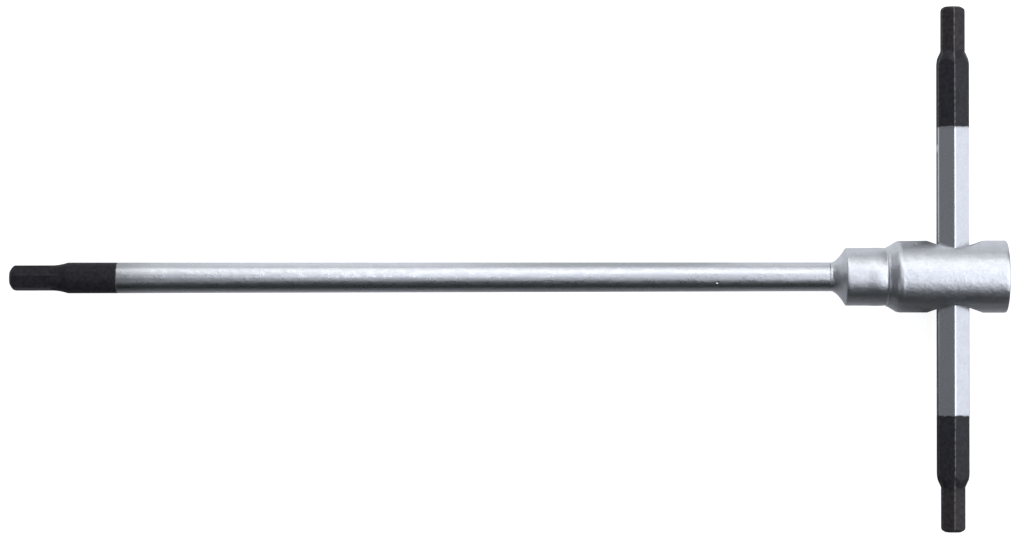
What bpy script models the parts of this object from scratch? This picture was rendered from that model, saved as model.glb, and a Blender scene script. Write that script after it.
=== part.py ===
"""Sliding T-handle hexagon key.

A slightly tapered round shaft with a hexagon tip is fixed by a tenon in a turned head. A hexagon
crossbar, with a smaller hexagon on each end, slides through the head. A sprung ball inside the head
rides on one flat of the crossbar and drops into a dimple at each end of its travel.

Metres, +Z up. The origin is the centre of the shaft tip's end face, +X runs along the shaft to the
head, and +Y along the crossbar.
"""
import math

import bmesh
import bpy
from mathutils import Matrix, Vector

MM = 0.001
OBJECT_NAME = "sliding_hexagon_key"

# Hexagons, across their flats, and the width of the break on their long edges
TIP_FLATS = 5.95 * MM
BAR_FLATS = 8.0 * MM
BORE_FLATS = 8.3 * MM
TIP_EDGE_BREAK = 0.18 * MM
BAR_EDGE_BREAK = 0.22 * MM

# Rounded end of every hexagon tip
END_FLAT_RADIUS = 2.05 * MM
END_ROUND_RADIUS = 3.5 * MM
END_ROUND_LENGTH = 1.5 * MM
END_ROUND_RISE = 0.26 * MM

# Shaft, along +X from its tip
SHAFT_TIP_TURN = math.radians(9.0)
RUNOUT_ROOT = (9.75 * MM, 2.6 * MM)
RUNOUT_START = (10.75 * MM, 3.25 * MM)
RUNOUT_END_X = 15.0 * MM
RUNOUT_RISE = -0.17 * MM
ROD_TIP_RADIUS = 3.98 * MM
ROD_HEAD_RADIUS = 3.73 * MM
SEAM_X = 211.45 * MM
TENON_RADIUS = 3.0 * MM
TENON_LENGTH = 15.2 * MM
TENON_CHAMFER = 0.4 * MM

# Head, along +X from the seam with the shaft
SEAM_GAP = 0.15 * MM
TENON_GAP = 0.12 * MM
TENON_END_GAP = 0.2 * MM
COLLAR_END_X = 212.3 * MM
CONE_END = (215.45 * MM, 7.3 * MM)
CONE_RISE = -0.19 * MM
NECK_START = (215.65 * MM, 7.44 * MM)
NECK_END = (225.75 * MM, 7.55 * MM)
STEP_END = (228.45 * MM, 9.0 * MM)
BARREL_START = (230.15 * MM, 9.24 * MM)
BARREL_ROUND_RISE = 0.1 * MM
HEAD_END_X = 257.05 * MM
HEAD_END_RADIUS = 9.36 * MM
HEAD_END_CHAMFER = 0.4 * MM
COUNTERSINK_RADIUS = 6.9 * MM
COUNTERSINK_HALF_ANGLE = math.radians(33.0)
COUNTERSINK_REACH = 13.0 * MM
COUNTERSINK_CORE_RADIUS = 3.6 * MM

# Crossbar, along +Y, and its place in the head
BAR_X = 243.3 * MM
BAR_OFFSET_Y = 1.86 * MM
BAR_HALF_LENGTH = 67.78 * MM
BAR_TIP_LENGTH = 11.27 * MM
SHOULDER_ROOT_RADIUS = 2.95 * MM
SHOULDER_TOP_RADIUS = 4.75 * MM
SHOULDER_LENGTH = 4.25 * MM
SHOULDER_RISE = 0.1 * MM
DIMPLE_FROM_CENTRE = 31.2 * MM
DIMPLE_DEPTH = 0.42 * MM
DIMPLE_SPHERE_RADIUS = 2.1 * MM

# Ball and spring in the head, between the tenon and the crossbar
BALL_RADIUS = 2.0 * MM
BALL_GAP = 0.1 * MM
BALL_BORE_RADIUS = 2.15 * MM
LIP_RADIUS = 1.75 * MM
LIP_LENGTH = 0.3 * MM
SPRING_WIRE_RADIUS = 0.25 * MM
SPRING_MEAN_RADIUS = 1.6 * MM
SPRING_TURNS = 8
SPRING_BACK_GAP = 0.15 * MM
SPRING_TO_BALL_CENTRE = 1.75 * MM
SPRING_POINTS_PER_TURN = 10

# Fineness of the round shapes
TURN_STEPS = 48
TURN_PHASE = math.radians(2.5)  # keeps the facets clear of the hexagons' edges
ARC_STEPS = 5
BALL_SEGMENTS = 24
MERGE = 0.01 * MM
OVERRUN = 3.0 * MM

# Places worked out from the sizes above
TENON_END_X = SEAM_X + TENON_LENGTH
BORE_FLAT_X = BAR_X - BORE_FLATS / 2
BALL_X = BAR_X - BAR_FLATS / 2 - BALL_GAP - BALL_RADIUS


def clear_scene():
    for old in list(bpy.data.objects):
        bpy.data.objects.remove(old, do_unlink=True)


def new_collection(name):
    made = bpy.data.collections.new(name)
    bpy.context.scene.collection.children.link(made)
    return made


def metal(name, colour, roughness):
    """A metal finish of one colour."""
    made = bpy.data.materials.new(name)
    made.use_nodes = True
    shader = made.node_tree.nodes["Principled BSDF"]
    shader.inputs["Base Color"].default_value = (*colour, 1.0)
    shader.inputs["Metallic"].default_value = 1.0
    shader.inputs["Roughness"].default_value = roughness
    return made


def new_object(name, data, group):
    made = bpy.data.objects.new(name, data)
    group.objects.link(made)
    return made


def as_tool(tool):
    """Mark a shape that only cuts, trims or joins another one."""
    tool.hide_render = True
    tool.display_type = "WIRE"
    return tool


def bow(start, end, rise):
    """Points of a circular arc between two (along, radius) points.

    The arc stands off its chord by rise: away from the axis if positive, towards it if negative.
    """
    start = Vector(start)
    end = Vector(end)
    chord = end - start
    half = chord.length / 2
    radius = (half**2 + rise**2) / (2 * abs(rise))
    half_sweep = math.asin(half / radius)
    outward = Vector((-chord.y, chord.x)).normalized()
    if outward.y < 0:
        outward = -outward
    crest = outward * math.copysign(radius, rise)
    ahead = chord.normalized() * radius
    centre = (start + end) / 2 + outward * rise - crest
    points = []
    for step in range(ARC_STEPS + 1):
        angle = half_sweep * (2 * step / ARC_STEPS - 1)
        points.append(tuple(centre + crest * math.cos(angle) + ahead * math.sin(angle)))
    return points


def mirrored(half):
    """A turned profile followed by its mirror image past the middle."""
    return half + [(-along, radius) for along, radius in reversed(half)]


def turned(name, profile, group):
    """A solid turned about its Z axis from (along, radius) points, highest first."""
    mesh = bpy.data.meshes.new(name)
    across = Vector((math.cos(TURN_PHASE), math.sin(TURN_PHASE)))
    points = [(radius * across.x, radius * across.y, along) for along, radius in profile]
    edges = [(i, i + 1) for i in range(len(points) - 1)]
    mesh.from_pydata(points, edges, [])
    made = new_object(name, mesh, group)
    turn = made.modifiers.new("Turn", "SCREW")
    turn.axis = "Z"
    turn.angle = math.tau
    turn.steps = TURN_STEPS
    turn.render_steps = TURN_STEPS
    turn.use_merge_vertices = True
    turn.merge_threshold = MERGE
    return made


def hexagon(name, flats, low, high, edge_break, group, turn=0.0):
    """A hexagon bar along Z from low to high, with its flats facing X and its long edges broken."""
    shape = bmesh.new()
    corner_radius = flats / 2 / math.cos(math.pi / 6)
    place = Matrix.Translation((0, 0, (low + high) / 2)) @ Matrix.Rotation(turn, 4, "Z")
    bmesh.ops.create_cone(
        shape,
        cap_ends=True,
        segments=6,
        radius1=corner_radius,
        radius2=corner_radius,
        depth=high - low,
        matrix=place,
    )
    mesh = bpy.data.meshes.new(name)
    shape.to_mesh(mesh)
    shape.free()
    made = new_object(name, mesh, group)
    if edge_break:
        rounding = made.modifiers.new("Edge break", "BEVEL")
        rounding.width = edge_break
        rounding.segments = 2
        rounding.limit_method = "ANGLE"
        rounding.angle_limit = math.radians(50)
    return made


def sphere(name, radius, group):
    """A ball whose poles lie on X."""
    shape = bmesh.new()
    bmesh.ops.create_uvsphere(
        shape,
        u_segments=BALL_SEGMENTS,
        v_segments=BALL_SEGMENTS // 2,
        radius=radius,
        matrix=Matrix.Rotation(math.pi / 2, 4, "Y"),
    )
    mesh = bpy.data.meshes.new(name)
    shape.to_mesh(mesh)
    shape.free()
    mesh.shade_smooth()
    return new_object(name, mesh, group)


def combine(target, tool, operation):
    step = target.modifiers.new(tool.name, "BOOLEAN")
    step.operation = operation
    step.object = tool
    step.solver = "EXACT"


def lay_along_x(piece):
    """Turn a piece made along Z so that it runs along +X."""
    piece.rotation_euler = (0, math.pi / 2, 0)


def lay_along_y(piece, centre_y=0.0):
    """Turn a piece made along Z so that it runs along +Y through the head."""
    piece.rotation_euler = (-math.pi / 2, 0, 0)
    piece.location = (BAR_X, centre_y, 0)


def shaft(parts, tools):
    """Slightly tapered rod with a concave runout down to its hexagon tip, and a tenon for the head."""
    profile = [
        (TENON_END_X, 0),
        (TENON_END_X, TENON_RADIUS - TENON_CHAMFER),
        (TENON_END_X - TENON_CHAMFER, TENON_RADIUS),
        (SEAM_X, TENON_RADIUS),
        (SEAM_X, ROD_HEAD_RADIUS),
    ]
    profile += bow((RUNOUT_END_X, ROD_TIP_RADIUS), RUNOUT_START, RUNOUT_RISE)
    profile += [RUNOUT_ROOT, (RUNOUT_ROOT[0], 0)]
    made = turned("shaft", profile, parts)
    lay_along_x(made)

    tip_root = RUNOUT_START[0] + OVERRUN
    turn = math.pi / 6 - SHAFT_TIP_TURN
    tip = as_tool(hexagon("shaft_tip", TIP_FLATS, -OVERRUN, tip_root, TIP_EDGE_BREAK, tools, turn))
    lay_along_x(tip)
    end = [(tip_root - OVERRUN / 2, 0), (tip_root - OVERRUN / 2, END_ROUND_RADIUS)]
    end += bow((END_ROUND_LENGTH, END_ROUND_RADIUS), (0, END_FLAT_RADIUS), END_ROUND_RISE)
    end += [(0, 0)]
    end_form = as_tool(turned("shaft_tip_end", end, tools))
    lay_along_x(end_form)
    combine(tip, end_form, "INTERSECT")
    combine(made, tip, "UNION")
    return made


def head(parts, tools):
    """Turned head with a blind axial bore, a hexagon cross bore and a countersink at each mouth."""
    seam_x = SEAM_X + SEAM_GAP
    tenon_bore = TENON_RADIUS + TENON_GAP
    tenon_bore_end = TENON_END_X + TENON_END_GAP
    profile = [
        (HEAD_END_X, 0),
        (HEAD_END_X, HEAD_END_RADIUS - HEAD_END_CHAMFER),
        (HEAD_END_X - HEAD_END_CHAMFER, HEAD_END_RADIUS),
    ]
    profile += bow(BARREL_START, STEP_END, BARREL_ROUND_RISE)
    profile += [NECK_END, NECK_START]
    profile += bow(CONE_END, (COLLAR_END_X, ROD_HEAD_RADIUS), CONE_RISE)
    profile += [
        (seam_x, ROD_HEAD_RADIUS),
        (seam_x, tenon_bore),
        (tenon_bore_end, tenon_bore),
        (tenon_bore_end, BALL_BORE_RADIUS),
        (BORE_FLAT_X - LIP_LENGTH, BALL_BORE_RADIUS),
        (BORE_FLAT_X - LIP_LENGTH, LIP_RADIUS),
        (BAR_X, LIP_RADIUS),
        (BAR_X, 0),
    ]
    made = turned("head", profile, parts)
    lay_along_x(made)

    reach = HEAD_END_RADIUS + OVERRUN
    bore = as_tool(hexagon("crossbar_bore", BORE_FLATS, -reach, reach, 0.0, tools))
    lay_along_y(bore)
    combine(made, bore, "DIFFERENCE")

    slope = math.tan(COUNTERSINK_HALF_ANGLE)
    mouth = COUNTERSINK_RADIUS + (COUNTERSINK_REACH - HEAD_END_RADIUS) * slope
    core_y = HEAD_END_RADIUS - (COUNTERSINK_RADIUS - COUNTERSINK_CORE_RADIUS) / slope
    cones = mirrored([(COUNTERSINK_REACH, 0), (COUNTERSINK_REACH, mouth), (core_y, COUNTERSINK_CORE_RADIUS)])
    countersinks = as_tool(turned("countersinks", cones, tools))
    lay_along_y(countersinks)
    combine(made, countersinks, "DIFFERENCE")
    return made


def crossbar(parts, tools):
    """Hexagon bar with domed shoulders, a smaller hexagon tip on each end and two dimples."""
    shoulder_y = BAR_HALF_LENGTH - BAR_TIP_LENGTH
    overrun_y = shoulder_y + OVERRUN
    made = hexagon("crossbar", BAR_FLATS, -overrun_y, overrun_y, BAR_EDGE_BREAK, parts)
    lay_along_y(made, BAR_OFFSET_Y)
    shoulder_root = (shoulder_y, SHOULDER_ROOT_RADIUS)
    shoulder_top = (shoulder_y - SHOULDER_LENGTH, SHOULDER_TOP_RADIUS)
    half = [(shoulder_y, 0)] + bow(shoulder_root, shoulder_top, SHOULDER_RISE)
    shoulders = as_tool(turned("crossbar_shoulders", mirrored(half), tools))
    lay_along_y(shoulders, BAR_OFFSET_Y)
    combine(made, shoulders, "INTERSECT")

    reach = BAR_HALF_LENGTH + OVERRUN
    tips = as_tool(hexagon("crossbar_tips", TIP_FLATS, -reach, reach, TIP_EDGE_BREAK, tools))
    lay_along_y(tips, BAR_OFFSET_Y)
    end_flat = (BAR_HALF_LENGTH, END_FLAT_RADIUS)
    end_round = (BAR_HALF_LENGTH - END_ROUND_LENGTH, END_ROUND_RADIUS)
    half = [(BAR_HALF_LENGTH, 0)] + bow(end_flat, end_round, END_ROUND_RISE)
    tip_ends = as_tool(turned("crossbar_tip_ends", mirrored(half), tools))
    lay_along_y(tip_ends, BAR_OFFSET_Y)
    combine(tips, tip_ends, "INTERSECT")
    combine(made, tips, "UNION")

    dimple_x = BAR_X - BAR_FLATS / 2 - DIMPLE_SPHERE_RADIUS + DIMPLE_DEPTH
    for name, from_centre in (("left_dimple", DIMPLE_FROM_CENTRE), ("right_dimple", -DIMPLE_FROM_CENTRE)):
        dimple = as_tool(sphere(name, DIMPLE_SPHERE_RADIUS, tools))
        dimple.location = (dimple_x, BAR_OFFSET_Y + from_centre, 0)
        combine(made, dimple, "DIFFERENCE")
    return made


def detent_ball(parts):
    made = sphere("detent_ball", BALL_RADIUS, parts)
    made.location = (BALL_X, 0, 0)
    return made


def spring_points():
    """Middle of the spring's wire, from the tenon to the ball."""
    start = TENON_END_X + SPRING_BACK_GAP + SPRING_WIRE_RADIUS
    length = BALL_X - SPRING_TO_BALL_CENTRE - start
    count = SPRING_TURNS * SPRING_POINTS_PER_TURN
    points = []
    for i in range(count + 1):
        angle = math.tau * i / SPRING_POINTS_PER_TURN
        along = start + length * i / count
        across = SPRING_MEAN_RADIUS * math.cos(angle)
        up = SPRING_MEAN_RADIUS * math.sin(angle)
        points.append(Vector((along, across, up)))
    return points


def least_gap(points):
    """Least clear distance between turns of the wire."""
    apart = SPRING_POINTS_PER_TURN // 2
    pairs = [(a, b) for i, a in enumerate(points) for b in points[i + apart:]]
    nearest = min((a - b).length for a, b in pairs)
    return nearest - 2 * SPRING_WIRE_RADIUS


def detent_spring(parts):
    points = spring_points()
    print(f"detent_spring: least gap between turns {least_gap(points) / MM:.2f} mm")
    curve = bpy.data.curves.new("detent_spring", "CURVE")
    curve.dimensions = "3D"
    curve.bevel_depth = SPRING_WIRE_RADIUS
    curve.bevel_resolution = 1
    curve.use_fill_caps = True
    wire = curve.splines.new("POLY")
    wire.points.add(len(points) - 1)
    for place, point in zip(wire.points, points):
        place.co = (*point, 1.0)
    return new_object("detent_spring", curve, parts)


def main():
    clear_scene()
    parts = new_collection(OBJECT_NAME)
    tools = new_collection("cutters")
    whole = new_object(f"{OBJECT_NAME}_frame", None, parts)
    pieces = [
        (shaft(parts, tools), metal("shaft_satin_chrome", (0.62, 0.63, 0.66), 0.3)),
        (head(parts, tools), metal("head_satin_chrome", (0.66, 0.67, 0.7), 0.36)),
        (crossbar(parts, tools), metal("crossbar_satin_chrome", (0.64, 0.65, 0.68), 0.28)),
        (detent_ball(parts), metal("ball_bright_steel", (0.6, 0.6, 0.62), 0.15)),
        (detent_spring(parts), metal("spring_steel", (0.35, 0.35, 0.37), 0.35)),
    ]
    for piece, finish in pieces:
        piece.data.materials.append(finish)
        piece.parent = whole


main()
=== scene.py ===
# %% [markdown]
# # A sliding T-handle hexagon key
#
# The real tool is three steel pieces that show, a shaft, a head and a crossbar, and a ball and a
# spring that don't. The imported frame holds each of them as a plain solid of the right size. This
# lesson puts a finer piece over each solid, gives it the finish that the photograph shows, and sets
# up the studio. The frame is loaded first and its box is kept, because every finer piece has to stay
# inside it.

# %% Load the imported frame
import math

import bmesh
import bpy
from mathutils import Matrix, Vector


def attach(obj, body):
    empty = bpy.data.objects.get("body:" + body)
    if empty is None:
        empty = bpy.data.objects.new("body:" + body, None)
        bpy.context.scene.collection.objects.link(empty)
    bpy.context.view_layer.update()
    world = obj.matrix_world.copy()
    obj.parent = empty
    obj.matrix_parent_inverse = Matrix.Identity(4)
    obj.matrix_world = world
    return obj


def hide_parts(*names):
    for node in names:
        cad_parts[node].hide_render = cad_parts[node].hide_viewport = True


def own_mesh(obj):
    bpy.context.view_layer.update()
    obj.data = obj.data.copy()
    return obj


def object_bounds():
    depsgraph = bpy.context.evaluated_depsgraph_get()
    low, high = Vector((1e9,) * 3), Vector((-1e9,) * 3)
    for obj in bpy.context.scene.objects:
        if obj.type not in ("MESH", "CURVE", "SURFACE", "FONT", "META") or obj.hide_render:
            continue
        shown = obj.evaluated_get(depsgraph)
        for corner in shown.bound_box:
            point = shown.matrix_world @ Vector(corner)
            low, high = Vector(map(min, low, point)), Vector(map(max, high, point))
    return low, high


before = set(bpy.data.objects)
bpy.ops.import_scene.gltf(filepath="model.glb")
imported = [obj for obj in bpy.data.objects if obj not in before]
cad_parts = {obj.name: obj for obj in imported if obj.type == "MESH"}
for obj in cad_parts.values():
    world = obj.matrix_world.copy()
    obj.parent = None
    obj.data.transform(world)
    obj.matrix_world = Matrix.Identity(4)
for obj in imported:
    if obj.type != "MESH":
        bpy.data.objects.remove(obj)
cad_low, cad_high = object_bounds()
print("CAD nodes:", sorted(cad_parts))
print("CAD box in metres:", [round(side, 5) for side in cad_high - cad_low])

# %% [markdown]
# ## The camera
#
# The photograph looks straight down on the tool from nearly a metre above it, so both sides of the
# round shaft show alike and the crossbar turns one flat a little more towards us than the other. A
# long lens gives that mild perspective. The small roll is the photograph's own.

# %% Camera
CAMERA_PLACE = (0.12955, 0.00214, 0.9159)
CAMERA_LENS = 124.8
CAMERA_ROLL = -0.0015

scene = bpy.context.scene
scene.view_settings.view_transform = "Standard"
camera_data = bpy.data.cameras.new("studio_camera")
camera_data.lens = CAMERA_LENS
camera = bpy.data.objects.new("studio_camera", camera_data)
camera.location = CAMERA_PLACE
camera.rotation_euler = (0, 0, CAMERA_ROLL)
scene.collection.objects.link(camera)
scene.camera = camera
print("camera height above the tool's axis:", CAMERA_PLACE[2], "m")

# %% [markdown]
# ## Wiring a material
#
# A material is a graph of small nodes. The white sheet under the tool and every finish on it are
# wired from the same few steps: a sum or a product, a smooth ramp, and a blend of two colours or two
# values. They could be drawn by hand in the editor. Short helpers are used instead, so that each
# finish reads as a list of what is done to the surface.

# %% Node helpers
def connect(tree, source, target):
    tree.links.new(source, target)


def add_node(tree, kind, **settings):
    """A new shader node with some of its settings, such as operation, filled in."""
    made = tree.nodes.new(kind)
    for name, value in settings.items():
        setattr(made, name, value)
    return made


def calculate(tree, operation, first, second=None, clamp=False):
    """One step of arithmetic in a node tree, on sockets or plain numbers."""
    made = add_node(tree, "ShaderNodeMath", operation=operation, use_clamp=clamp)
    for socket, value in zip(made.inputs, (first, second)):
        if isinstance(value, (int, float)):
            socket.default_value = value
        elif value is not None:
            connect(tree, value, socket)
    return made.outputs[0]


def ramp(tree, value, low, high):
    """0 below low, 1 above high, and a smooth rise between them."""
    made = add_node(tree, "ShaderNodeMapRange", interpolation_type="SMOOTHSTEP")
    made.inputs["From Min"].default_value = low
    made.inputs["From Max"].default_value = high
    connect(tree, value, made.inputs["Value"])
    return made.outputs["Result"]


def blend_colour(tree, share, first, second):
    """The first colour where share is 0, the second where it is 1."""
    made = add_node(tree, "ShaderNodeMix", data_type="RGBA")
    connect(tree, share, made.inputs["Factor"])
    for socket, value in ((made.inputs[6], first), (made.inputs[7], second)):
        if isinstance(value, tuple):
            socket.default_value = value
        else:
            connect(tree, value, socket)
    return made.outputs[2]


def blend_value(tree, share, first, second):
    """The first value where share is 0, the second where it is 1."""
    made = add_node(tree, "ShaderNodeMapRange")
    connect(tree, share, made.inputs["Value"])
    for socket, value in ((made.inputs["To Min"], first), (made.inputs["To Max"], second)):
        if isinstance(value, float):
            socket.default_value = value
        else:
            connect(tree, value, socket)
    return made.outputs["Result"]


def new_material(name):
    """A new material, with its node tree and its Principled shader."""
    made = bpy.data.materials.new(name)
    made.use_nodes = True
    return made, made.node_tree, made.node_tree.nodes["Principled BSDF"]


print("wiring helpers:", [step.__name__ for step in (calculate, ramp, blend_colour, blend_value)])

# %% [markdown]
# ## The floor
#
# The tool lies on a white sheet. White paper under soft light renders a light grey, so the sheet adds
# a little glow of its own, and only where the camera or a reflection sees it. That whitens the
# picture without putting more light on the steel, and the tool's shadow stays. In a reflection the
# sheet's colour and glow are painted light and shade: painted bright on the upper side of the shaft
# and painted dark on the lower, and along the tool a short list of steps paints it brighter or
# darker, with painted shadow where the head and the crossbar stand in its light.

# %% White sheet
FLOOR_COLOUR = (0.62, 0.61, 0.59, 1.0)
# Painted shade: the colour that reflections see, darker than what the camera sees.
PAINTED_FLOOR_SHADE = (0.18, 0.18, 0.18, 1.0)
PLAIN_WHITE = (1.0, 1.0, 1.0, 1.0)
CAMERA_GLOW = 0.86
# Painted reflection: the glow that reflections see, dark on the lower side, bright on the upper.
PAINTED_REFLECTION_GLOW = (0.0, 0.66)
PAINTED_REFLECTION_TINT = (0.9, 0.94, 1.0, 1.0)
PAINTED_LIT_SIDE = (-0.036, 0.02)
PAINTED_SHADING_START = 0.9
# Each step of painted light and shade in reflections: where along the tool it starts and ends,
# in metres, and the share of the glow after it.
PAINTED_SHADING_STEPS = (
    (0.028, 0.065, 1.2),
    (0.095, 0.15, 0.64),
    (0.178, 0.195, 1.0),
    (0.2265, 0.234, 0.42),
    (0.2355, 0.237, 0.0),
    (0.2392, 0.241, 0.45),
    (0.244, 0.248, 1.0),
)


def white_sheet():
    """White paper that glows a little; what reflections see of it is painted light and shade."""
    made, tree, paper = new_material("white_sheet")
    paper.inputs["Roughness"].default_value = 0.9
    paper.inputs["Specular IOR Level"].default_value = 0.0
    path = add_node(tree, "ShaderNodeLightPath").outputs
    mirrored = calculate(tree, "ADD", path["Is Glossy Ray"], path["Is Transmission Ray"], clamp=True)
    # Painted shade: reflections see the sheet's darker colour.
    colour = blend_colour(tree, mirrored, FLOOR_COLOUR, PAINTED_FLOOR_SHADE)
    connect(tree, colour, paper.inputs["Base Color"])
    place = add_node(tree, "ShaderNodeSeparateXYZ")
    connect(tree, add_node(tree, "ShaderNodeTexCoord").outputs["Object"], place.inputs[0])
    # Painted light and shade in reflections: bright on the upper side, dark on the lower, stepped
    # along the tool.
    glow = blend_value(tree, ramp(tree, place.outputs["Y"], *PAINTED_LIT_SIDE), *PAINTED_REFLECTION_GLOW)
    share = PAINTED_SHADING_START
    for start, end, after in PAINTED_SHADING_STEPS:
        share = blend_value(tree, ramp(tree, place.outputs["X"], start, end), share, after)
    glow = calculate(tree, "MULTIPLY", calculate(tree, "MULTIPLY", glow, share), mirrored)
    tint = blend_colour(tree, mirrored, PLAIN_WHITE, PAINTED_REFLECTION_TINT)
    connect(tree, tint, paper.inputs["Emission Color"])
    seen = calculate(tree, "MULTIPLY", path["Is Camera Ray"], CAMERA_GLOW)
    connect(tree, calculate(tree, "ADD", seen, glow), paper.inputs["Emission Strength"])
    return made


sheet_paper = white_sheet()
print("floor material:", sheet_paper.name)

# %% Floor
MM = 0.001
FLOOR_GAP = 0.01
FLOOR_HEIGHT = cad_low.z - FLOOR_GAP * MM
FLOOR_SIZE = 3.0


def new_piece(name, shape):
    """Turn a finished bmesh into an object at the origin."""
    mesh = bpy.data.meshes.new(name)
    shape.to_mesh(mesh)
    shape.free()
    made = bpy.data.objects.new(name, mesh)
    scene.collection.objects.link(made)
    return made


sheet_shape = bmesh.new()
bmesh.ops.create_grid(sheet_shape, x_segments=1, y_segments=1, size=FLOOR_SIZE)
bmesh.ops.translate(sheet_shape, verts=sheet_shape.verts, vec=(0, 0, FLOOR_HEIGHT))
floor = new_piece("white_floor", sheet_shape)
floor.data.materials.append(sheet_paper)
print("floor at", round(FLOOR_HEIGHT / MM, 2), "mm")

# %% [markdown]
# ## The light
#
# Polished steel shows its surroundings, so each panel is placed by the face that mirrors it. Two
# softboxes overhead put the white band on the shaft, and two more light the head. A sheet overhead
# and a wall beyond the upper side light the rims that face that way. A panel on the right lights the
# crossbar's right-hand faces. The panels on the left are dim: they keep the crossbar's left-hand
# faces grey, and let the shaft show as steel from the head's end too. The lower side is left dark,
# which gives the dark bands.

# %% Softboxes and surroundings
SURROUND_COLOUR = (0.02, 0.0235, 0.0235, 1.0)
COOL_WHITE = (0.87, 0.91, 1.0)
CLEAN_WHITE = (0.93, 0.96, 1.0)
# Each panel: name, place, what it faces, width and height in metres, brightness and colour.
PANELS = (
    ("shaft_softbox", (0.0825, 0.25, 0.8), (0.0825, 0.25, 0), (0.135, 0.5), 2.35, COOL_WHITE),
    ("shaft_fill", (0.0825, -0.175, 0.8), (0.0825, -0.175, 0), (0.135, 0.35), 0.85, COOL_WHITE),
    ("head_softbox", (0.755, 0.06, 0.8), (0.755, 0.06, 0), (0.89, 0.78), 2.02, COOL_WHITE),
    ("head_fill", (0.83, -0.49, 0.8), (0.83, -0.49, 0), (0.74, 0.32), 2.6, COOL_WHITE),
    ("upper_sheet", (0.55, 0.735, 0.8), (0.55, 0.735, 0), (1.3, 0.63), 1.53, CLEAN_WHITE),
    ("upper_wall", (0.0, 1.3, 0.7), (0.0, 0, 0.7), (1.0, 0.8), 1.3, CLEAN_WHITE),
    ("wall_foot", (0.0, 1.3, 0.15), (0.0, 0, 0.15), (1.0, 0.3), 0.66, COOL_WHITE),
    ("right_panel", (1.05, 0.0, 0.35), (0.24, 0, 0), (0.9, 0.6), 1.09, COOL_WHITE),
    ("left_fill", (-0.55, 0.38, 0.6), (0.24, 0.38, 0), (1.0, 0.8), 0.17, COOL_WHITE),
    ("left_wall", (-1.3, 0.0, 0.31), (0.24, 0, 0.31), (1.4, 0.44), 0.16, COOL_WHITE),
    ("left_back", (-0.75, 1.0, 0.45), (0.12, 0, 0), (0.8, 0.6), 0.6, COOL_WHITE),
    ("left_front", (-0.43, -0.5, 0.85), (0.12, 0, 0), (0.6, 0.6), 0.45, COOL_WHITE),
)


def softbox(name, place, aim, size, brightness, colour):
    """A rectangular lamp whose face has the brightness given."""
    lamp = bpy.data.lights.new(name, "AREA")
    lamp.shape = "RECTANGLE"
    lamp.size, lamp.size_y = size
    lamp.energy = brightness * math.pi * size[0] * size[1]
    lamp.color = colour
    made = bpy.data.objects.new(name, lamp)
    made.location = place
    made.rotation_euler = (Vector(aim) - Vector(place)).to_track_quat("-Z", "Y").to_euler()
    made.visible_camera = False
    scene.collection.objects.link(made)


for panel in PANELS:
    softbox(*panel)
world = bpy.data.worlds.new("dark_studio")
scene.world = world
world.use_nodes = True
world.node_tree.nodes["Background"].inputs["Color"].default_value = SURROUND_COLOUR

# %% [markdown]
# ## Turned blanks
#
# The shaft, the head and the crossbar all start as round stock in a lathe. In bmesh that is an
# outline of points along the axis, spun once around it. The helpers here take the outline in
# millimetres, as (place along the axis, radius) pairs. A bowed stretch of outline stands off its
# straight chord, outwards for a dome and inwards for a hollow.

# %% Outline helpers
def bowed(along, start, end, rise):
    """Radius at a place on a bowed line between two (along, radius) points."""
    share = (along - start[0]) / (end[0] - start[0])
    slope = (end[1] - start[1]) / (end[0] - start[0])
    stand_off = rise * math.sqrt(1 + slope * slope)
    return start[1] + (end[1] - start[1]) * share + 4 * stand_off * share * (1 - share)


def spaced(start, end, count):
    """Evenly spaced places from start up to, but not including, end."""
    return [start + (end - start) * step / count for step in range(count)]


def bowed_run(start, end, rise, count):
    """Outline points of a bowed line, without its last point."""
    return [(along, bowed(along, start, end, rise)) for along in spaced(start[0], end[0], count)]


def eased_run(start, end, count):
    """Outline points of a line that is level at both its ends, without its last point."""
    points = []
    for step, along in enumerate(spaced(start[0], end[0], count)):
        share = (1 - math.cos(math.pi * step / count)) / 2
        points.append((along, start[1] + (end[1] - start[1]) * share))
    return points


print("half way along, a line bowed by 1 mm stands", bowed(5, (0, 0), (10, 0), 1.0), "mm off")

# %% Lathe
WELD = 0.002 * MM
UP = Vector((0, 0, 1))
SHARP_ANGLE = math.radians(38)


def turn_blank(outline, axis, centre, steps):
    """Spin an outline in millimetres around an axis through centre."""
    shape = bmesh.new()
    points = [
        shape.verts.new(centre + (axis * along + UP * radius) * MM) for along, radius in outline
    ]
    lines = [shape.edges.new(pair) for pair in zip(points, points[1:])]
    bmesh.ops.spin(
        shape,
        geom=points + lines,
        cent=centre,
        axis=axis,
        angle=math.tau,
        steps=steps,
        use_merge=True,
    )
    bmesh.ops.remove_doubles(shape, verts=shape.verts, dist=WELD)
    bmesh.ops.recalc_face_normals(shape, faces=shape.faces)
    return shape


def finish_mesh(piece):
    """Smooth shading, broken only at real corners."""
    piece.data.shade_smooth()
    piece.data.set_sharp_from_angle(angle=SHARP_ANGLE)
    triangles = sum(len(face.vertices) - 2 for face in piece.data.polygons)
    print(piece.name, "has", triangles, "triangles")


print("points closer than", WELD / MM, "mm are welded")

# %% [markdown]
# ## Pressing the hexagons
#
# On the real tool the hexagon ends are forged: flats are pressed into a round blank, and where a flat
# runs into a domed shoulder it leaves a soft scallop. The same is done here. Each vertex of the
# spun blank is pushed in to the radius that the finished section has at its angle. The section is a
# hexagon with rounded corners, and a soft minimum blends it into the turned shape, because a hard one
# would leave a knife edge that no plated tool has. The blank also gets an edge mark, 1 on a corner
# and 0 away from it, for the finish to wear the corners by.

# %% Hexagon section
SIXTH = math.pi / 3


def corner_turn(angle):
    """Angle away from the nearest hexagon corner, when angle 0 is a corner."""
    return abs((angle + SIXTH / 2) % SIXTH - SIXTH / 2)


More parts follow.
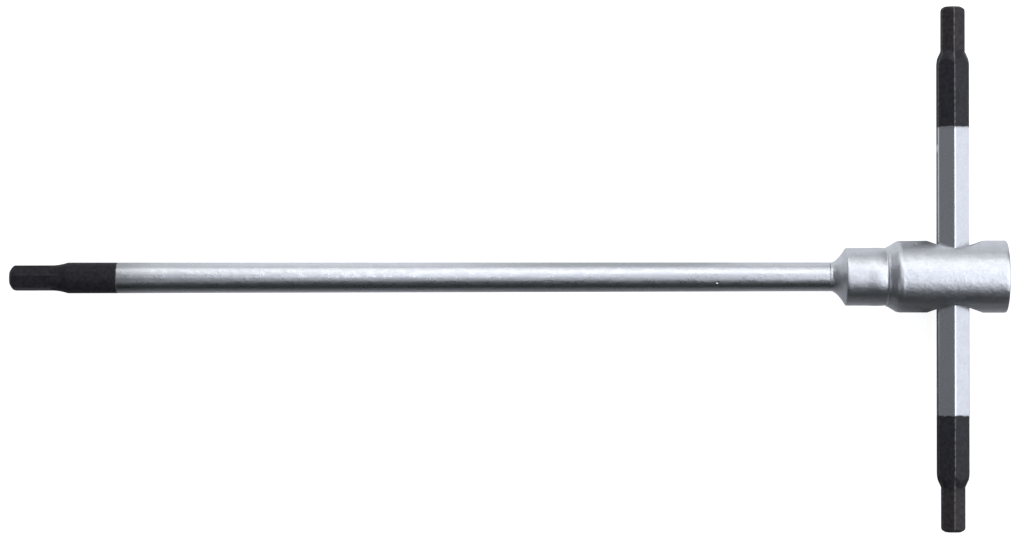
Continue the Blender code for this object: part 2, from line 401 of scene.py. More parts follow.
def hexagon_reach(angle, flats, corner):
    """Radius of a hexagon with rounded corners, at an angle from one of its corners."""
    off_corner = corner_turn(angle)
    off_flat = SIXTH / 2 - off_corner
    inner = flats / 2 - corner
    if flats / 2 * math.tan(off_flat) <= inner * math.tan(SIXTH / 2):
        return flats / 2 / math.cos(off_flat)
    centre = inner / math.cos(SIXTH / 2)
    sideways = centre * math.sin(off_corner)
    return centre * math.cos(off_corner) + math.sqrt(corner * corner - sideways * sideways)


def soft_min(first, second, blend):
    """The smaller of two radii, with the crease between them rounded off."""
    near = max(blend - abs(first - second), 0) / blend
    return min(first, second) - near * near * blend / 4


def soft_max(first, second, blend):
    """The larger of two radii, with the crease between them rounded off."""
    return -soft_min(-first, -second, blend)


print("an 8 mm hexagon with 0.5 mm corners reaches", round(hexagon_reach(0.0, 8.0, 0.5), 3), "mm")

# %% Press
WEAR_WIDTH = 0.75
ON_AXIS = 0.01


def press(shape, axis, centre, reach):
    """Push a blank's vertices in to reach(along, angle), and mark how near a corner each one is."""
    edge_mark = shape.verts.layers.float.new("edge_mark")
    side = UP.cross(axis)
    for vertex in shape.verts:
        arm = (vertex.co - centre) / MM
        along = arm.dot(axis)
        out = arm - axis * along
        if out.length < ON_AXIS:
            continue
        angle = math.atan2(out.dot(side), out.z)
        radius, off_corner = reach(along, angle)
        radius = min(radius, out.length)
        vertex[edge_mark] = max(0.0, 1.0 - off_corner * radius / WEAR_WIDTH)
        vertex.co = centre + (axis * along + out.normalized() * radius) * MM
    bmesh.ops.recalc_face_normals(shape, faces=shape.faces)


print("corners can wear", WEAR_WIDTH, "mm to each side")

# %% [markdown]
# ## The shaft
#
# One steel rod, 8 mm thick near its tip and half a millimetre less at the head. The tip is a hexagon
# 5.95 mm across the flats with a domed end, and a hollow runout leads from it up to the round rod.
# The other end is turned down to a tenon that sits in the head. The hexagon is turned a little about
# the shaft, as the photograph shows it. As far as the end of the runout, the blank is spun a crease's
# width too large, so that the press shapes all of it.

# %% Shaft shape
TIP_FLATS = 5.95
TIP_CORNER = 0.32
TIP_CORNER_RADIUS = hexagon_reach(0.0, TIP_FLATS, TIP_CORNER)
CREASE = 0.12
NO_LIMIT = 99.0
NO_CORNER = 99.0
SHAFT_DOME = ((0.0, 1.75), (1.9, 3.5), 0.32)
SHAFT_TIP_TURN = math.radians(14.0)
RUNOUT_ROOT = (9.75, 2.6)
RUNOUT_START = (10.75, 3.25)
RUNOUT_END = (15.0, 3.98)
RUNOUT_RISE = -0.17
SEAM = (211.45, 3.73)


def end_dome(from_end, dome):
    """Radius of the turned dome on a hexagon tip, at a distance from its end."""
    if from_end >= dome[1][0]:
        return NO_LIMIT
    return bowed(from_end, *dome)


def rod(along):
    """Radius of the round rod, which tapers a little towards the head."""
    return bowed(along, RUNOUT_END, SEAM, 0.0)


def runout(along):
    """Radius of the turned shape behind the shaft's hexagon."""
    if along < RUNOUT_ROOT[0]:
        return 0.0
    if along < RUNOUT_START[0]:
        return bowed(along, RUNOUT_ROOT, RUNOUT_START, 0.0)
    if along < RUNOUT_END[0]:
        return bowed(along, RUNOUT_START, RUNOUT_END, RUNOUT_RISE)
    return rod(along)


def shaft_reach(along, angle):
    """Radius of the finished shaft, and the angle away from a hexagon corner."""
    angle -= SHAFT_TIP_TURN
    if along > RUNOUT_END[0]:
        return NO_LIMIT, NO_CORNER
    hexagon = hexagon_reach(angle, TIP_FLATS, TIP_CORNER)
    tip = soft_min(hexagon, end_dome(along, SHAFT_DOME), CREASE)
    turned = runout(along)
    return soft_max(tip, turned, CREASE), corner_turn(angle) if tip > turned else NO_CORNER


print("the tip's corners reach", round(TIP_CORNER_RADIUS, 3), "mm")

# %% Shaft
SHAFT_STEPS = 240
SHAFT_END_RING = 1.0
ROD_FIRST_RINGS = [15.3, 16.0]
ROD_EVEN_FROM = 20
SEAM_BREAK = 0.08
TENON_RADIUS = 3.0
TENON_END = 226.65
TENON_CHAMFER = 0.4
ALONG_SHAFT = Vector((1, 0, 0))
SHAFT_CENTRE = Vector((0, 0, 0))


def shaft_outline():
    """Outline of the shaft's blank, from the tip's end face to the tenon's."""
    dome_end = SHAFT_DOME[1][0]
    places = spaced(0, dome_end, 18) + spaced(dome_end, RUNOUT_ROOT[0], 5)
    places += spaced(RUNOUT_ROOT[0], RUNOUT_START[0], 12)
    places += spaced(RUNOUT_START[0], RUNOUT_END[0], 32)
    outline = [(0, 0), (0, SHAFT_END_RING)]
    for along in places:
        tip = min(TIP_CORNER_RADIUS, end_dome(along, SHAFT_DOME))
        outline.append((along, max(tip, runout(along)) + CREASE))
    places = [RUNOUT_END[0]] + ROD_FIRST_RINGS + spaced(ROD_EVEN_FROM, SEAM[0] - 1, 24)
    outline += [(along, rod(along)) for along in places]
    outline += [(SEAM[0] - 3 * SEAM_BREAK, SEAM[1]), (SEAM[0] - SEAM_BREAK, SEAM[1])]
    outline += [(SEAM[0], SEAM[1] - SEAM_BREAK), (SEAM[0], TENON_RADIUS)]
    outline += [(TENON_END - TENON_CHAMFER, TENON_RADIUS), (TENON_END, TENON_RADIUS - TENON_CHAMFER)]
    return outline + [(TENON_END, 0)]


shaft_shape = turn_blank(shaft_outline(), ALONG_SHAFT, SHAFT_CENTRE, SHAFT_STEPS)
press(shaft_shape, ALONG_SHAFT, SHAFT_CENTRE, shaft_reach)
shaft = new_piece("shaft_rod", shaft_shape)
finish_mesh(shaft)

# %% [markdown]
# ## The crossbar
#
# A hexagon bar, 8 mm across its flats, with a forged hexagon tip on each end like the shaft's. The
# bar ends in domed shoulders, which leave a scallop on every flat. Two shallow dimples in the flat
# that faces the shaft catch the ball at the ends of the slide. Each dimple is pressed in with a
# ball of its own: vertices of that flat inside the dimple's mouth move down onto the ball. The blank
# has its rings close together only at the domes, the shoulders and the dimples.

# %% Crossbar shape
BAR_FLATS = 8.0
BAR_CORNER = 0.5
BAR_HALF = 67.78
BAR_TIP = 11.27
BAR_DOME = ((0.0, 2.05), (1.5, 3.5), 0.26)
SHOULDER_ROOT = (BAR_TIP, 2.95)
SHOULDER_TOP = (BAR_TIP + 4.25, 4.75)
SHOULDER_RISE = 0.1


def shoulder(from_end):
    """Radius of the turned shoulder, at a distance from the bar's end."""
    if from_end < SHOULDER_ROOT[0]:
        return 0.0
    if from_end < SHOULDER_TOP[0]:
        return bowed(from_end, SHOULDER_ROOT, SHOULDER_TOP, SHOULDER_RISE)
    return NO_LIMIT


def bar_reach(along, angle):
    """Radius of the finished bar, and the angle away from a hexagon corner."""
    from_end = BAR_HALF - abs(along)
    small_hexagon = hexagon_reach(angle, TIP_FLATS, TIP_CORNER)
    large_hexagon = hexagon_reach(angle, BAR_FLATS, BAR_CORNER)
    tip = soft_min(small_hexagon, end_dome(from_end, BAR_DOME), CREASE)
    bar = soft_min(large_hexagon, shoulder(from_end), CREASE)
    return soft_max(tip, bar, CREASE), corner_turn(angle)


print("the bar is", 2 * BAR_HALF, "mm long")

# %% Crossbar
BAR_STEPS = 360
BAR_END_RING = 1.7
BEFORE_SHOULDER = 0.4
PAST_SHOULDER = 0.2
DIMPLE_PLACE = 31.2
DIMPLE_RINGS = 1.6
DIMPLE_BALL = 2.1
DIMPLE_DEPTH = 0.42
FLAT_SLACK = 0.05
ALONG_BAR = Vector((0, 1, 0))
BAR_CENTRE = Vector((243.3, 1.86, 0)) * MM


def bar_outline():
    """Outline of the crossbar's blank, the same from both ends to the middle."""
    dome_end = BAR_DOME[1][0]
    shoulder_from = BAR_TIP - BEFORE_SHOULDER
    shoulder_to = SHOULDER_TOP[0] + PAST_SHOULDER
    dimple_from_end = BAR_HALF - DIMPLE_PLACE
    half = spaced(0, dome_end, 15) + spaced(dome_end, shoulder_from, 5)
    half += spaced(shoulder_from, shoulder_to, 36)
    half += spaced(shoulder_to, dimple_from_end - DIMPLE_RINGS, 5)
    half += spaced(dimple_from_end - DIMPLE_RINGS, dimple_from_end + DIMPLE_RINGS, 26)
    half += spaced(dimple_from_end + DIMPLE_RINGS, BAR_HALF, 6)
    places = [from_end - BAR_HALF for from_end in half]
    places += [0.0] + [-along for along in reversed(places)]
    outline = [(-BAR_HALF, 0), (-BAR_HALF, BAR_END_RING)]
    outline += [(along, bar_reach(along, 0.0)[0] + CREASE) for along in places]
    return outline + [(BAR_HALF, BAR_END_RING), (BAR_HALF, 0)]


def press_dimples(shape):
    """Push the flat that faces the shaft onto two balls, to leave two dimples."""
    flat = -BAR_FLATS / 2
    ball_x = flat - DIMPLE_BALL + DIMPLE_DEPTH
    for vertex in shape.verts:
        arm = (vertex.co - BAR_CENTRE) / MM
        if arm.x > flat + FLAT_SLACK:
            continue
        for place in (-DIMPLE_PLACE, DIMPLE_PLACE):
            off = math.hypot(arm.y - place, arm.z)
            if off < DIMPLE_BALL:
                ball_skin = ball_x + math.sqrt(DIMPLE_BALL**2 - off * off)
                arm.x = soft_max(arm.x, ball_skin, CREASE / 2)
        vertex.co = BAR_CENTRE + arm * MM


bar_shape = turn_blank(bar_outline(), ALONG_BAR, BAR_CENTRE, BAR_STEPS)
press(bar_shape, ALONG_BAR, BAR_CENTRE, bar_reach)
press_dimples(bar_shape)
crossbar = new_piece("hexagon_crossbar", bar_shape)
finish_mesh(crossbar)

# %% [markdown]
# ## The head
#
# The head is turned: a short collar meets the shaft, a hollow cone rises to the neck, which has a
# soft roll, and a step with a fine relief groove at its foot rises to the barrel. The barrel ends in
# a small rounded rim. A blind bore inside takes the tenon, the spring and the ball. All of that is
# one outline, spun once.

# %% Turned head
HEAD_STEPS = 192
SEAM_GAP = 0.08
COLLAR_END = (212.1, 3.73)
CONE_END = (215.45, 7.3)
CONE_RISE = -0.37
CONE_CORNER = (CONE_END[0] + 0.12, CONE_END[1] + 0.11)
NECK_START = (215.65, 7.44)
NECK_EASE = (NECK_START[0] + 0.3, 7.45)
NECK_LEVEL_FROM = 216.65
NECK_WAIST = (220.6, 7.455)
NECK_ROLL = (223.2, 7.525)
ROLL_RISE = 0.03
GROOVE = (225.85, 7.42)
GROOVE_WALL = [(225.97, 7.46), (226.07, 7.62)]
RIDGE = (226.15, 7.72)
RIDGE_BACK = (226.27, 7.755)
STEP_START = (226.43, 7.76)
STEP_END = (228.45, 9.0)
BARREL_START = (230.15, 9.24)
BARREL_RISE = 0.1
HEAD_END = 257.049
HEAD_RADIUS = 9.35
HEAD_ROUND = 0.4
TENON_BORE = 3.12
TENON_BORE_END = 226.85
BALL_BORE = 2.15
LIP_PLACE = 238.85
LIP_RADIUS = 1.75
BORE_CENTRE = Vector((243.3, 0, 0)) * MM


def blind_bore():
    """Outline of the bore, from the crossbar's hole back to the seam."""
    middle = BORE_CENTRE.x / MM
    seam = SEAM[0] + SEAM_GAP
    outline = [(middle, 0), (middle, LIP_RADIUS), (LIP_PLACE, LIP_RADIUS), (LIP_PLACE, BALL_BORE)]
    outline += [(TENON_BORE_END, BALL_BORE), (TENON_BORE_END, TENON_BORE), (seam, TENON_BORE)]
    outline += [(seam, COLLAR_END[1] - SEAM_BREAK)]
    return outline + [(seam + SEAM_BREAK, COLLAR_END[1]), (seam + 2 * SEAM_BREAK, COLLAR_END[1])]


def head_outline():
    """Outline of the head, out of its bore and along its outside to the end face."""
    outline = blind_bore()
    outline += bowed_run(COLLAR_END, CONE_END, CONE_RISE, 14)
    outline += [CONE_END, CONE_CORNER, NECK_START, NECK_EASE]
    outline += [(along, NECK_WAIST[1]) for along in spaced(NECK_LEVEL_FROM, NECK_WAIST[0], 5)]
    outline += eased_run(NECK_WAIST, NECK_ROLL, 12) + bowed_run(NECK_ROLL, GROOVE, ROLL_RISE, 14)
    outline += [GROOVE] + GROOVE_WALL + [RIDGE, RIDGE_BACK, STEP_START]
    outline += bowed_run(STEP_START, STEP_END, 0.0, 4)
    outline += bowed_run(STEP_END, BARREL_START, BARREL_RISE, 6)
    barrel_end = (HEAD_END - HEAD_ROUND, HEAD_RADIUS)
    outline += bowed_run(BARREL_START, barrel_end, 0.0, 40)
    for turn in spaced(0, math.pi / 2, 6) + [math.pi / 2]:
        along = barrel_end[0] + HEAD_ROUND * math.sin(turn)
        outline.append((along, HEAD_RADIUS - HEAD_ROUND * (1 - math.cos(turn))))
    return outline + [(HEAD_END, HEAD_RADIUS - 2 * HEAD_ROUND), (HEAD_END, 0)]


head = new_piece("turned_head", turn_blank(head_outline(), ALONG_SHAFT, SHAFT_CENTRE, HEAD_STEPS))
print("the head is", round(HEAD_END - SEAM[0], 2), "mm long and", 2 * HEAD_RADIUS, "mm thick")

# %% [markdown]
# ## The hole through the head
#
# The crossbar's hexagon hole crosses the barrel at a right angle, and a countersink eases each of its
# mouths. No single bmesh operator cuts one solid by another, so Boolean modifiers do that, with
# cutters made by the same lathe, and are then applied.

# %% Hexagon hole and countersinks
BORE_FLATS = 8.3
BORE_PAST_HEAD = 3
SINK_RADIUS = 7.35
SINK_SLOPE = math.tan(math.radians(41.0))
SINK_REACH = 13.0
SINK_CORE = 3.6
SINK_STEPS = 144
SINK_CENTRE = Vector((243.75, 0, 0)) * MM


def hexagon_bore():
    """A hexagon rod across the head, a little wider than the crossbar."""
    reach = HEAD_RADIUS + BORE_PAST_HEAD
    corner = BORE_FLATS / 2 / math.cos(SIXTH / 2)
    outline = [(-reach, 0), (-reach, corner), (reach, corner), (reach, 0)]
    return new_piece("bore_cutter", turn_blank(outline, ALONG_BAR, BORE_CENTRE, 6))


def countersinks():
    """Two cones with their narrow ends together in the middle of the head."""
    mouth = SINK_RADIUS + (SINK_REACH - HEAD_RADIUS) * SINK_SLOPE
    core = HEAD_RADIUS - (SINK_RADIUS - SINK_CORE) / SINK_SLOPE
    outline = [(-SINK_REACH, 0), (-SINK_REACH, mouth), (-core, SINK_CORE)]
    outline += [(-along, radius) for along, radius in reversed(outline)]
    return new_piece("countersink_cutter", turn_blank(outline, ALONG_BAR, SINK_CENTRE, SINK_STEPS))


def cut(piece, cutter):
    """Take the cutter's shape out of a piece for good."""
    step = piece.modifiers.new(cutter.name, "BOOLEAN")
    step.operation = "DIFFERENCE"
    step.solver = "EXACT"
    step.object = cutter
    cut_mesh = bpy.data.meshes.new_from_object(
        piece.evaluated_get(bpy.context.evaluated_depsgraph_get())
    )
    piece.modifiers.clear()
    piece.data = cut_mesh
    bpy.data.objects.remove(cutter, do_unlink=True)


cut(head, hexagon_bore())
cut(head, countersinks())
finish_mesh(head)

# %% [markdown]
# ## The ball and the spring
#
# Inside the head, a spring pushes a bearing ball against the crossbar. The spring's first and last
# turns are wound close, as a compression spring's are, so that each end sits flat. A small circle of
# wire is spun along a screw: the same spin operator, with a step forward each time.

# %% Ball
BALL_PLACE = Vector((237.2, 0, 0)) * MM
BALL_RADIUS = 2.0

ball_shape = bmesh.new()
bmesh.ops.create_icosphere(ball_shape, subdivisions=5, radius=BALL_RADIUS * MM)
bmesh.ops.translate(ball_shape, verts=ball_shape.verts, vec=BALL_PLACE)
ball = new_piece("bearing_ball", ball_shape)
finish_mesh(ball)

# %% Spring
WIRE_RADIUS = 0.25
WIRE_SIDES = 12
COIL_RADIUS = 1.6
COIL_STEPS = 36
SPRING_START = 227.05
SPRING_END = 235.45
CLOSE_PITCH = 0.55
OPEN_TURNS = 6


def wind(shape, section, turns, pitch):
    """Carry a wire section around and along the shaft's axis. Gives back the last section."""
    made = bmesh.ops.spin(
        shape,
        geom=section,
        cent=(0, 0, 0),
        axis=ALONG_SHAFT,
        dvec=ALONG_SHAFT * pitch / COIL_STEPS * MM,
        angle=math.tau * turns,
        steps=COIL_STEPS * turns,
    )
    return made["geom_last"]


def coil_spring():
    """The whole spring: a close turn, the open turns, and a close turn again."""
    shape = bmesh.new()
    bmesh.ops.create_circle(shape, segments=WIRE_SIDES, radius=WIRE_RADIUS * MM)
    bmesh.ops.rotate(
        shape,
        verts=shape.verts,
        matrix=UP.rotation_difference(ALONG_BAR).to_matrix(),
    )
    bmesh.ops.translate(shape, verts=shape.verts, vec=Vector((SPRING_START, 0, COIL_RADIUS)) * MM)
    open_pitch = (SPRING_END - SPRING_START - 2 * CLOSE_PITCH) / OPEN_TURNS
    section = shape.verts[:] + shape.edges[:]
    section = wind(shape, section, 1, CLOSE_PITCH)
    section = wind(shape, section, OPEN_TURNS, open_pitch)
    wind(shape, section, 1, CLOSE_PITCH)
    bmesh.ops.remove_doubles(shape, verts=shape.verts, dist=WELD)
    bmesh.ops.holes_fill(shape, edges=[edge for edge in shape.edges if edge.is_boundary], sides=0)
    bmesh.ops.recalc_face_normals(shape, faces=shape.faces)
    return shape


spring = new_piece("coil_spring", coil_spring())
finish_mesh(spring)

# %% [markdown]
# ## Grain under the chrome
#
# Satin chrome is thin and bright, and it shows the steel under it: a fine grain, drawn out a little
# along the shaft and the crossbar, and broad, shallow waves left by grinding and polishing. A node
# group makes both once, for every steel piece. It takes a place in millimetres, already stretched by
# the material that uses it, and how strong the waves are. It puts out a height for the bump and a
# mask of patches for the tone and the gloss.

# %% Grain group
FINE_GRAIN = 2.0
FINE_SOFTNESS = 0.4
BROAD_WAVES = 0.6
PATCH_RANGE = (0.35, 0.65)


def new_group(name, inputs, outputs):
    """An empty node group with named sockets. Gives back the tree, its inputs and its outputs."""
    tree = bpy.data.node_groups.new(name, "ShaderNodeTree")
    for label, kind in inputs:
        tree.interface.new_socket(label, in_out="INPUT", socket_type="NodeSocket" + kind)
    for label, kind in outputs:
        tree.interface.new_socket(label, in_out="OUTPUT", socket_type="NodeSocket" + kind)
    return tree, add_node(tree, "NodeGroupInput").outputs, add_node(tree, "NodeGroupOutput").inputs


def noise(tree, place, scale, detail, roughness=0.5):
    """A cloudy value around a half, with scale clouds or so to a millimetre."""
    made = add_node(tree, "ShaderNodeTexNoise")
    made.inputs["Scale"].default_value = scale
    made.inputs["Detail"].default_value = detail
    made.inputs["Roughness"].default_value = roughness
    connect(tree, place, made.inputs["Vector"])
    return made.outputs["Fac"]


def grain_group():
    tree, given, out = new_group(
        "satin_grain",
        [("Place", "Vector"), ("Waves", "Float")],
        [("Height", "Float"), ("Patches", "Float")],
    )
    fine = noise(tree, given["Place"], FINE_GRAIN, 1.0, FINE_SOFTNESS)
    broad = noise(tree, given["Place"], BROAD_WAVES, 1.0)
    waves = calculate(tree, "MULTIPLY", broad, given["Waves"])
    connect(tree, calculate(tree, "ADD", fine, waves), out["Height"])
    both = calculate(tree, "MULTIPLY", calculate(tree, "ADD", fine, broad), 0.5)
    connect(tree, ramp(tree, both, *PATCH_RANGE), out["Patches"])
    return tree


satin_grain = grain_group()
print("group:", satin_grain.name, [socket.name for socket in satin_grain.interface.items_tree])

# %% [markdown]
# ## Blackened ends and worn corners
#
# The tips of the shaft and the crossbar are left without chrome and blackened, up to a line that
# wavers a little where the masking ended. On the black ends the corners have rubbed bright. One group
# makes the black mask from the depth past the line, and a mottle for its tone. Another makes the
# rubbed mask from the edge mark, broken up into patches.

# %% Black and wear groups
WAVER = 0.4
LINE_SOFTNESS = 0.16
MOTTLE = 1.1
MOTTLE_RANGE = (0.3, 0.7)
WEAR_PATCHES = 0.9
WEAR_SPREAD = 0.9
WEAR_RANGE = (1.15, 1.5)
CLOUD_DETAIL = 3.0
CLOUD_ROUGHNESS = 0.6


def black_group():
    tree, given, out = new_group(
        "blackened_end",
        [("Depth", "Float"), ("Place", "Vector")],
        [("Mask", "Float"), ("Mottle", "Float")],
    )
    clouds = noise(tree, given["Place"], WAVER, CLOUD_DETAIL, CLOUD_ROUGHNESS)
    depth = calculate(tree, "ADD", given["Depth"], calculate(tree, "SUBTRACT", clouds, 0.5))
    connect(tree, ramp(tree, depth, -LINE_SOFTNESS, LINE_SOFTNESS), out["Mask"])
    mottle = noise(tree, given["Place"], MOTTLE, CLOUD_DETAIL, CLOUD_ROUGHNESS)
    connect(tree, ramp(tree, mottle, *MOTTLE_RANGE), out["Mottle"])
    return tree


def wear_group():
    tree, given, out = new_group(
        "rubbed_corner",
        [("Edge", "Float"), ("Place", "Vector")],
        [("Mask", "Float")],
    )
    patchy = noise(tree, given["Place"], WEAR_PATCHES, CLOUD_DETAIL, CLOUD_ROUGHNESS)
    spread = calculate(tree, "MULTIPLY", patchy, WEAR_SPREAD)
    reach = calculate(tree, "ADD", given["Edge"], spread)
    connect(tree, ramp(tree, reach, *WEAR_RANGE), out["Mask"])
    return tree


blackened_end = black_group()
rubbed_corner = wear_group()
print("groups:", blackened_end.name, rubbed_corner.name)

# %% [markdown]
# ## The finishes
#
# Each finish is one Principled shader. Chrome is a metal: its base colour is what it mirrors, and its
# roughness sets how soft that mirror is. A few small dents, knocked in by use, are taken off the
# grain's height. The black is not a metal: it is a dark skin with a weak gloss. The chrome turns
# darker towards it, the black mask blends the two, and the rubbed corners go back towards bare metal.

# %% Finish helpers
MM_PER_METRE = 1000


def place_in_mm(tree, stretch):
    """The object's own coordinates in millimetres, scaled along each axis."""
    source = add_node(tree, "ShaderNodeTexCoord").outputs["Object"]
    scaled = add_node(tree, "ShaderNodeMapping")
    scaled.inputs["Scale"].default_value = [MM_PER_METRE * amount for amount in stretch]
    connect(tree, source, scaled.inputs["Vector"])
    return scaled.outputs["Vector"]


def place_along(tree, axis):
    """The place in millimetres along one of the object's axes."""
    parts = add_node(tree, "ShaderNodeSeparateXYZ")
    connect(tree, place_in_mm(tree, (1, 1, 1)), parts.inputs[0])
    return parts.outputs[axis]


def use_group(tree, group, **given):
    """Place a group in a material, with a socket or a plain number for each of its inputs."""
    made = add_node(tree, "ShaderNodeGroup")
    made.node_tree = group
    for name, source in given.items():
        if isinstance(source, float):
            made.inputs[name].default_value = source
        else:
            connect(tree, source, made.inputs[name])
    return made.outputs


def bump(tree, height, shader):
    """Shade the surface by a height in millimetres."""
    made = add_node(tree, "ShaderNodeBump")
    made.inputs["Distance"].default_value = MM
    connect(tree, height, made.inputs["Height"])
    connect(tree, made.outputs["Normal"], shader.inputs["Normal"])


def knock(tree, centre, radius):
    """1 in the middle of a small dent, and 0 from its rim outwards. Both are in millimetres."""
    off = add_node(tree, "ShaderNodeVectorMath", operation="DISTANCE")
    connect(tree, place_in_mm(tree, (1, 1, 1)), off.inputs[0])
    off.inputs[1].default_value = centre
    return ramp(tree, off.outputs["Value"], radius, 0.0)


print("finish helpers:", [step.__name__ for step in (place_in_mm, use_group, bump, knock)])

# %% Satin chrome
CHROME_BRIGHT = (0.75, 0.755, 0.775, 1.0)
CHROME_DULL = (0.69, 0.695, 0.715, 1.0)
GLOSS_SPREAD = 0.03


def chrome(name, stretch, roughness, grain_depth, waves, knocks):
    """Satin chrome with a few dents. Gives back the parts of the material, before its bump."""
    made, tree, shader = new_material(name)
    grain = use_group(tree, satin_grain, Place=place_in_mm(tree, stretch), Waves=waves)
    dull, glossy = roughness + GLOSS_SPREAD, roughness - GLOSS_SPREAD
    colour = blend_colour(tree, grain["Patches"], CHROME_DULL, CHROME_BRIGHT)
    gloss = blend_value(tree, grain["Patches"], dull, glossy)
    height = calculate(tree, "MULTIPLY", grain["Height"], grain_depth)
    connect(tree, colour, shader.inputs["Base Color"])
    connect(tree, gloss, shader.inputs["Roughness"])
    shader.inputs["Metallic"].default_value = 1.0
    for centre, radius, depth in knocks:
        dent = calculate(tree, "MULTIPLY", knock(tree, centre, radius), depth)
        height = calculate(tree, "SUBTRACT", height, dent)
    return {
        "made": made,
        "tree": tree,
        "shader": shader,
        "colour": colour,
        "gloss": gloss,
        "height": height,
    }


print("chrome mirrors between", CHROME_DULL[:3], "and", CHROME_BRIGHT[:3])

# %% Blackened zone
CHROME_POLISHED = (0.93, 0.94, 0.96, 1.0)
# The chrome's colour just before the black line, darker than the rest.
CHROME_DARKER_NEAR_BLACK = (0.52, 0.525, 0.535, 1.0)
BLACK_DEEP = (0.018, 0.017, 0.0195, 1.0)
BLACK_GREY = (0.034, 0.032, 0.037, 1.0)
BLACK_BROWN = (0.044, 0.0355, 0.0345, 1.0)
RUBBED_METAL = (0.2, 0.195, 0.2, 1.0)
RUBBED_SHARE = 0.6
POLISHED_EDGE = (0.45, 0.85)
SKIN_GLOSS = (0.45, 0.35)
RIM_STEP = 0.05


def blacken(finish, depth, darker_from, brown_depth, sheen, wear):
    """Add a blackened zone, where depth in millimetres is above 0, to a chrome finish."""
    tree = finish["tree"]
    shader = finish["shader"]
    place = place_in_mm(tree, (1, 1, 1))
    black = use_group(tree, blackened_end, Depth=depth, Place=place)
    edge = add_node(tree, "ShaderNodeAttribute", attribute_name="edge_mark").outputs["Fac"]
    rubbed = use_group(tree, rubbed_corner, Edge=edge, Place=place)["Mask"]
    rubbed = calculate(tree, "MULTIPLY", rubbed, wear)
    skin = blend_colour(tree, black["Mottle"], BLACK_DEEP, BLACK_GREY)
    browned = calculate(tree, "MULTIPLY", ramp(tree, depth, *brown_depth), black["Mottle"])
    skin = blend_colour(tree, browned, skin, BLACK_BROWN)
    skin = blend_colour(tree, rubbed, skin, RUBBED_METAL)
    worn_edge = ramp(tree, edge, *POLISHED_EDGE)
    plated = blend_colour(tree, worn_edge, finish["colour"], CHROME_POLISHED)
    # The chrome turns darker over the last stretch before the black line.
    plated = blend_colour(tree, ramp(tree, depth, -darker_from, 0.0), plated, CHROME_DARKER_NEAR_BLACK)
    connect(tree, blend_colour(tree, black["Mask"], plated, skin), shader.inputs["Base Color"])
    skin_gloss = blend_value(tree, rubbed, *SKIN_GLOSS)
    gloss = blend_value(tree, black["Mask"], finish["gloss"], skin_gloss)
    connect(tree, gloss, shader.inputs["Roughness"])
    bare = calculate(tree, "MULTIPLY", rubbed, RUBBED_SHARE)
    connect(tree, blend_value(tree, black["Mask"], 1.0, bare), shader.inputs["Metallic"])
    shader.inputs["Specular IOR Level"].default_value = sheen
    rim = calculate(tree, "MULTIPLY", black["Mask"], RIM_STEP)
    bump(tree, calculate(tree, "SUBTRACT", finish["height"], rim), shader)
    return finish["made"]


print("the black skin lies", RIM_STEP, "mm below the chrome")

# %% Shaft, crossbar and head finishes
SHAFT_BLACK_END = 28.0
SHAFT_BLACK_LEAN = 0.1
SHAFT_KNOCKS = [((182.4, -1.45, 3.52), 0.45, 0.12)]
BAR_BLACK_LINES = (38.56, -35.84)
HEAD_KNOCKS = [((233.2, 8.38, 3.96), 0.5, 0.2), ((226.55, 6.36, 4.45), 0.5, 0.16)]


def shaft_finish():
    finish = chrome(
        "shaft_satin_chrome",
        stretch=(0.6, 1, 1),
        roughness=0.3,
        grain_depth=0.013,
        waves=3.0,
        knocks=SHAFT_KNOCKS,
    )
    tree = finish["tree"]
    lean = calculate(tree, "MULTIPLY", place_along(tree, "Z"), SHAFT_BLACK_LEAN)
    along = calculate(tree, "ADD", place_along(tree, "X"), lean)
    depth = calculate(tree, "SUBTRACT", SHAFT_BLACK_END, along)
    return blacken(finish, depth, darker_from=11.0, brown_depth=(22, 40), sheen=0.14, wear=0.12)


def crossbar_finish():
    finish = chrome(
        "crossbar_satin_chrome",
        stretch=(0.9, 0.6, 0.9),
        roughness=0.3,
        grain_depth=0.012,
        waves=0.3,
        knocks=[],
    )
    tree = finish["tree"]
    along = place_along(tree, "Y")
    upper = calculate(tree, "SUBTRACT", along, BAR_BLACK_LINES[0])
    lower = calculate(tree, "SUBTRACT", BAR_BLACK_LINES[1], along)
    depth = calculate(tree, "MAXIMUM", upper, lower)
    return blacken(finish, depth, darker_from=0.6, brown_depth=(17, 22), sheen=0.3, wear=0.75)


def head_finish():
    finish = chrome(
        "head_satin_chrome",
        stretch=(0.8, 0.8, 0.8),
        roughness=0.35,
        grain_depth=0.027,
        waves=1.4,
        knocks=HEAD_KNOCKS,
    )
    bump(finish["tree"], finish["height"], finish["shader"])
    return finish["made"]


shaft.data.materials.append(shaft_finish())
crossbar.data.materials.append(crossbar_finish())
head.data.materials.clear()
head.data.materials.append(head_finish())
print("chromed pieces:", [piece.name for piece in (shaft, crossbar, head)])

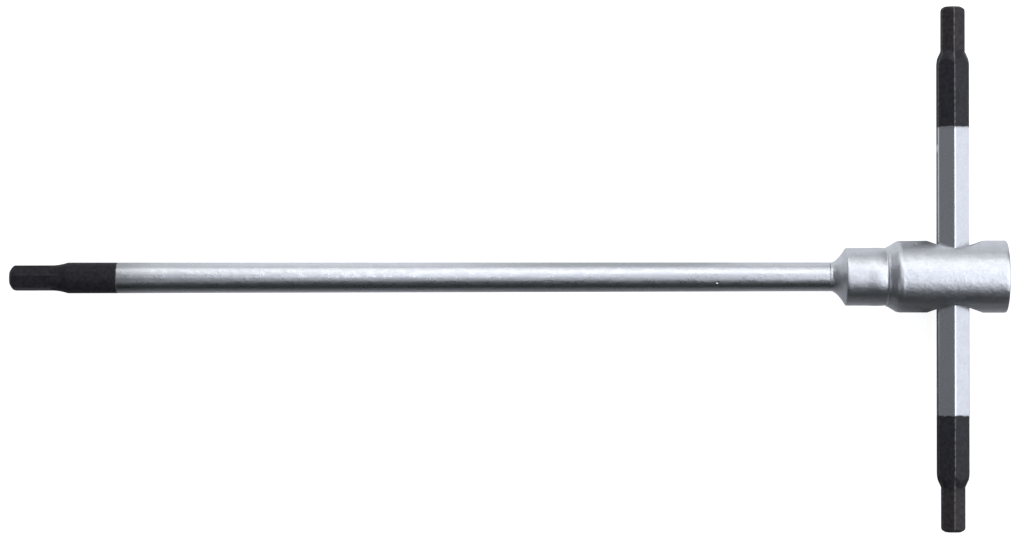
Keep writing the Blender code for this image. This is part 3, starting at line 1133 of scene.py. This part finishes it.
# %% [markdown]
# ## Steel inside the head
#
# The ball is a polished bearing ball and the spring is drawn wire. Neither is plated, so they are
# plain steel, with a tone and a gloss that vary with the same grain. Its relief is much fainter here
# than on the outside.

# %% Ball and spring finishes
BALL_TONES = ((0.55, 0.55, 0.57, 1.0), (0.62, 0.62, 0.64, 1.0))
BALL_ROUGHNESS = 0.1
SPRING_TONES = ((0.3, 0.3, 0.32, 1.0), (0.4, 0.4, 0.41, 1.0))
SPRING_ROUGHNESS = 0.32
STEEL_WAVES = 0.5
STEEL_GRAIN = 0.002
DULLER = 0.06
GLOSSIER = 0.02


def plain_steel(name, tones, roughness):
    """Unplated steel, between two tones."""
    made, tree, shader = new_material(name)
    place = place_in_mm(tree, (1, 1, 1))
    grain = use_group(tree, satin_grain, Place=place, Waves=STEEL_WAVES)
    connect(tree, blend_colour(tree, grain["Patches"], *tones), shader.inputs["Base Color"])
    shader.inputs["Metallic"].default_value = 1.0
    gloss = blend_value(tree, grain["Patches"], roughness + DULLER, roughness - GLOSSIER)
    connect(tree, gloss, shader.inputs["Roughness"])
    bump(tree, calculate(tree, "MULTIPLY", grain["Height"], STEEL_GRAIN), shader)
    return made


ball.data.materials.append(plain_steel("ball_bright_steel", BALL_TONES, BALL_ROUGHNESS))
spring.data.materials.append(plain_steel("spring_steel", SPRING_TONES, SPRING_ROUGHNESS))
print("finishes:", sorted(made.name for made in bpy.data.materials))

# %% [markdown]
# ## Hanging the pieces on the frame
#
# Each finer piece stands for one CAD node and moves with that node's body. The spring lies between
# the head and the ball, and here it rides with the head, on a mesh of its own.

for piece, body, node, finish_slot in (
    (shaft, "shaft_and_head", "shaft", "shaft_satin_chrome"),
    (head, "shaft_and_head", "head", "head_satin_chrome"),
    (crossbar, "crossbar", "crossbar", "crossbar_satin_chrome"),
    (ball, "detent_ball", "detent_ball", "ball_bright_steel"),
    (spring, "shaft_and_head", "detent_spring", "spring_steel"),
):
    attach(piece, body)
    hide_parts(node)
    print(piece.name, "rides on", body, "and stands for", node)
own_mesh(spring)
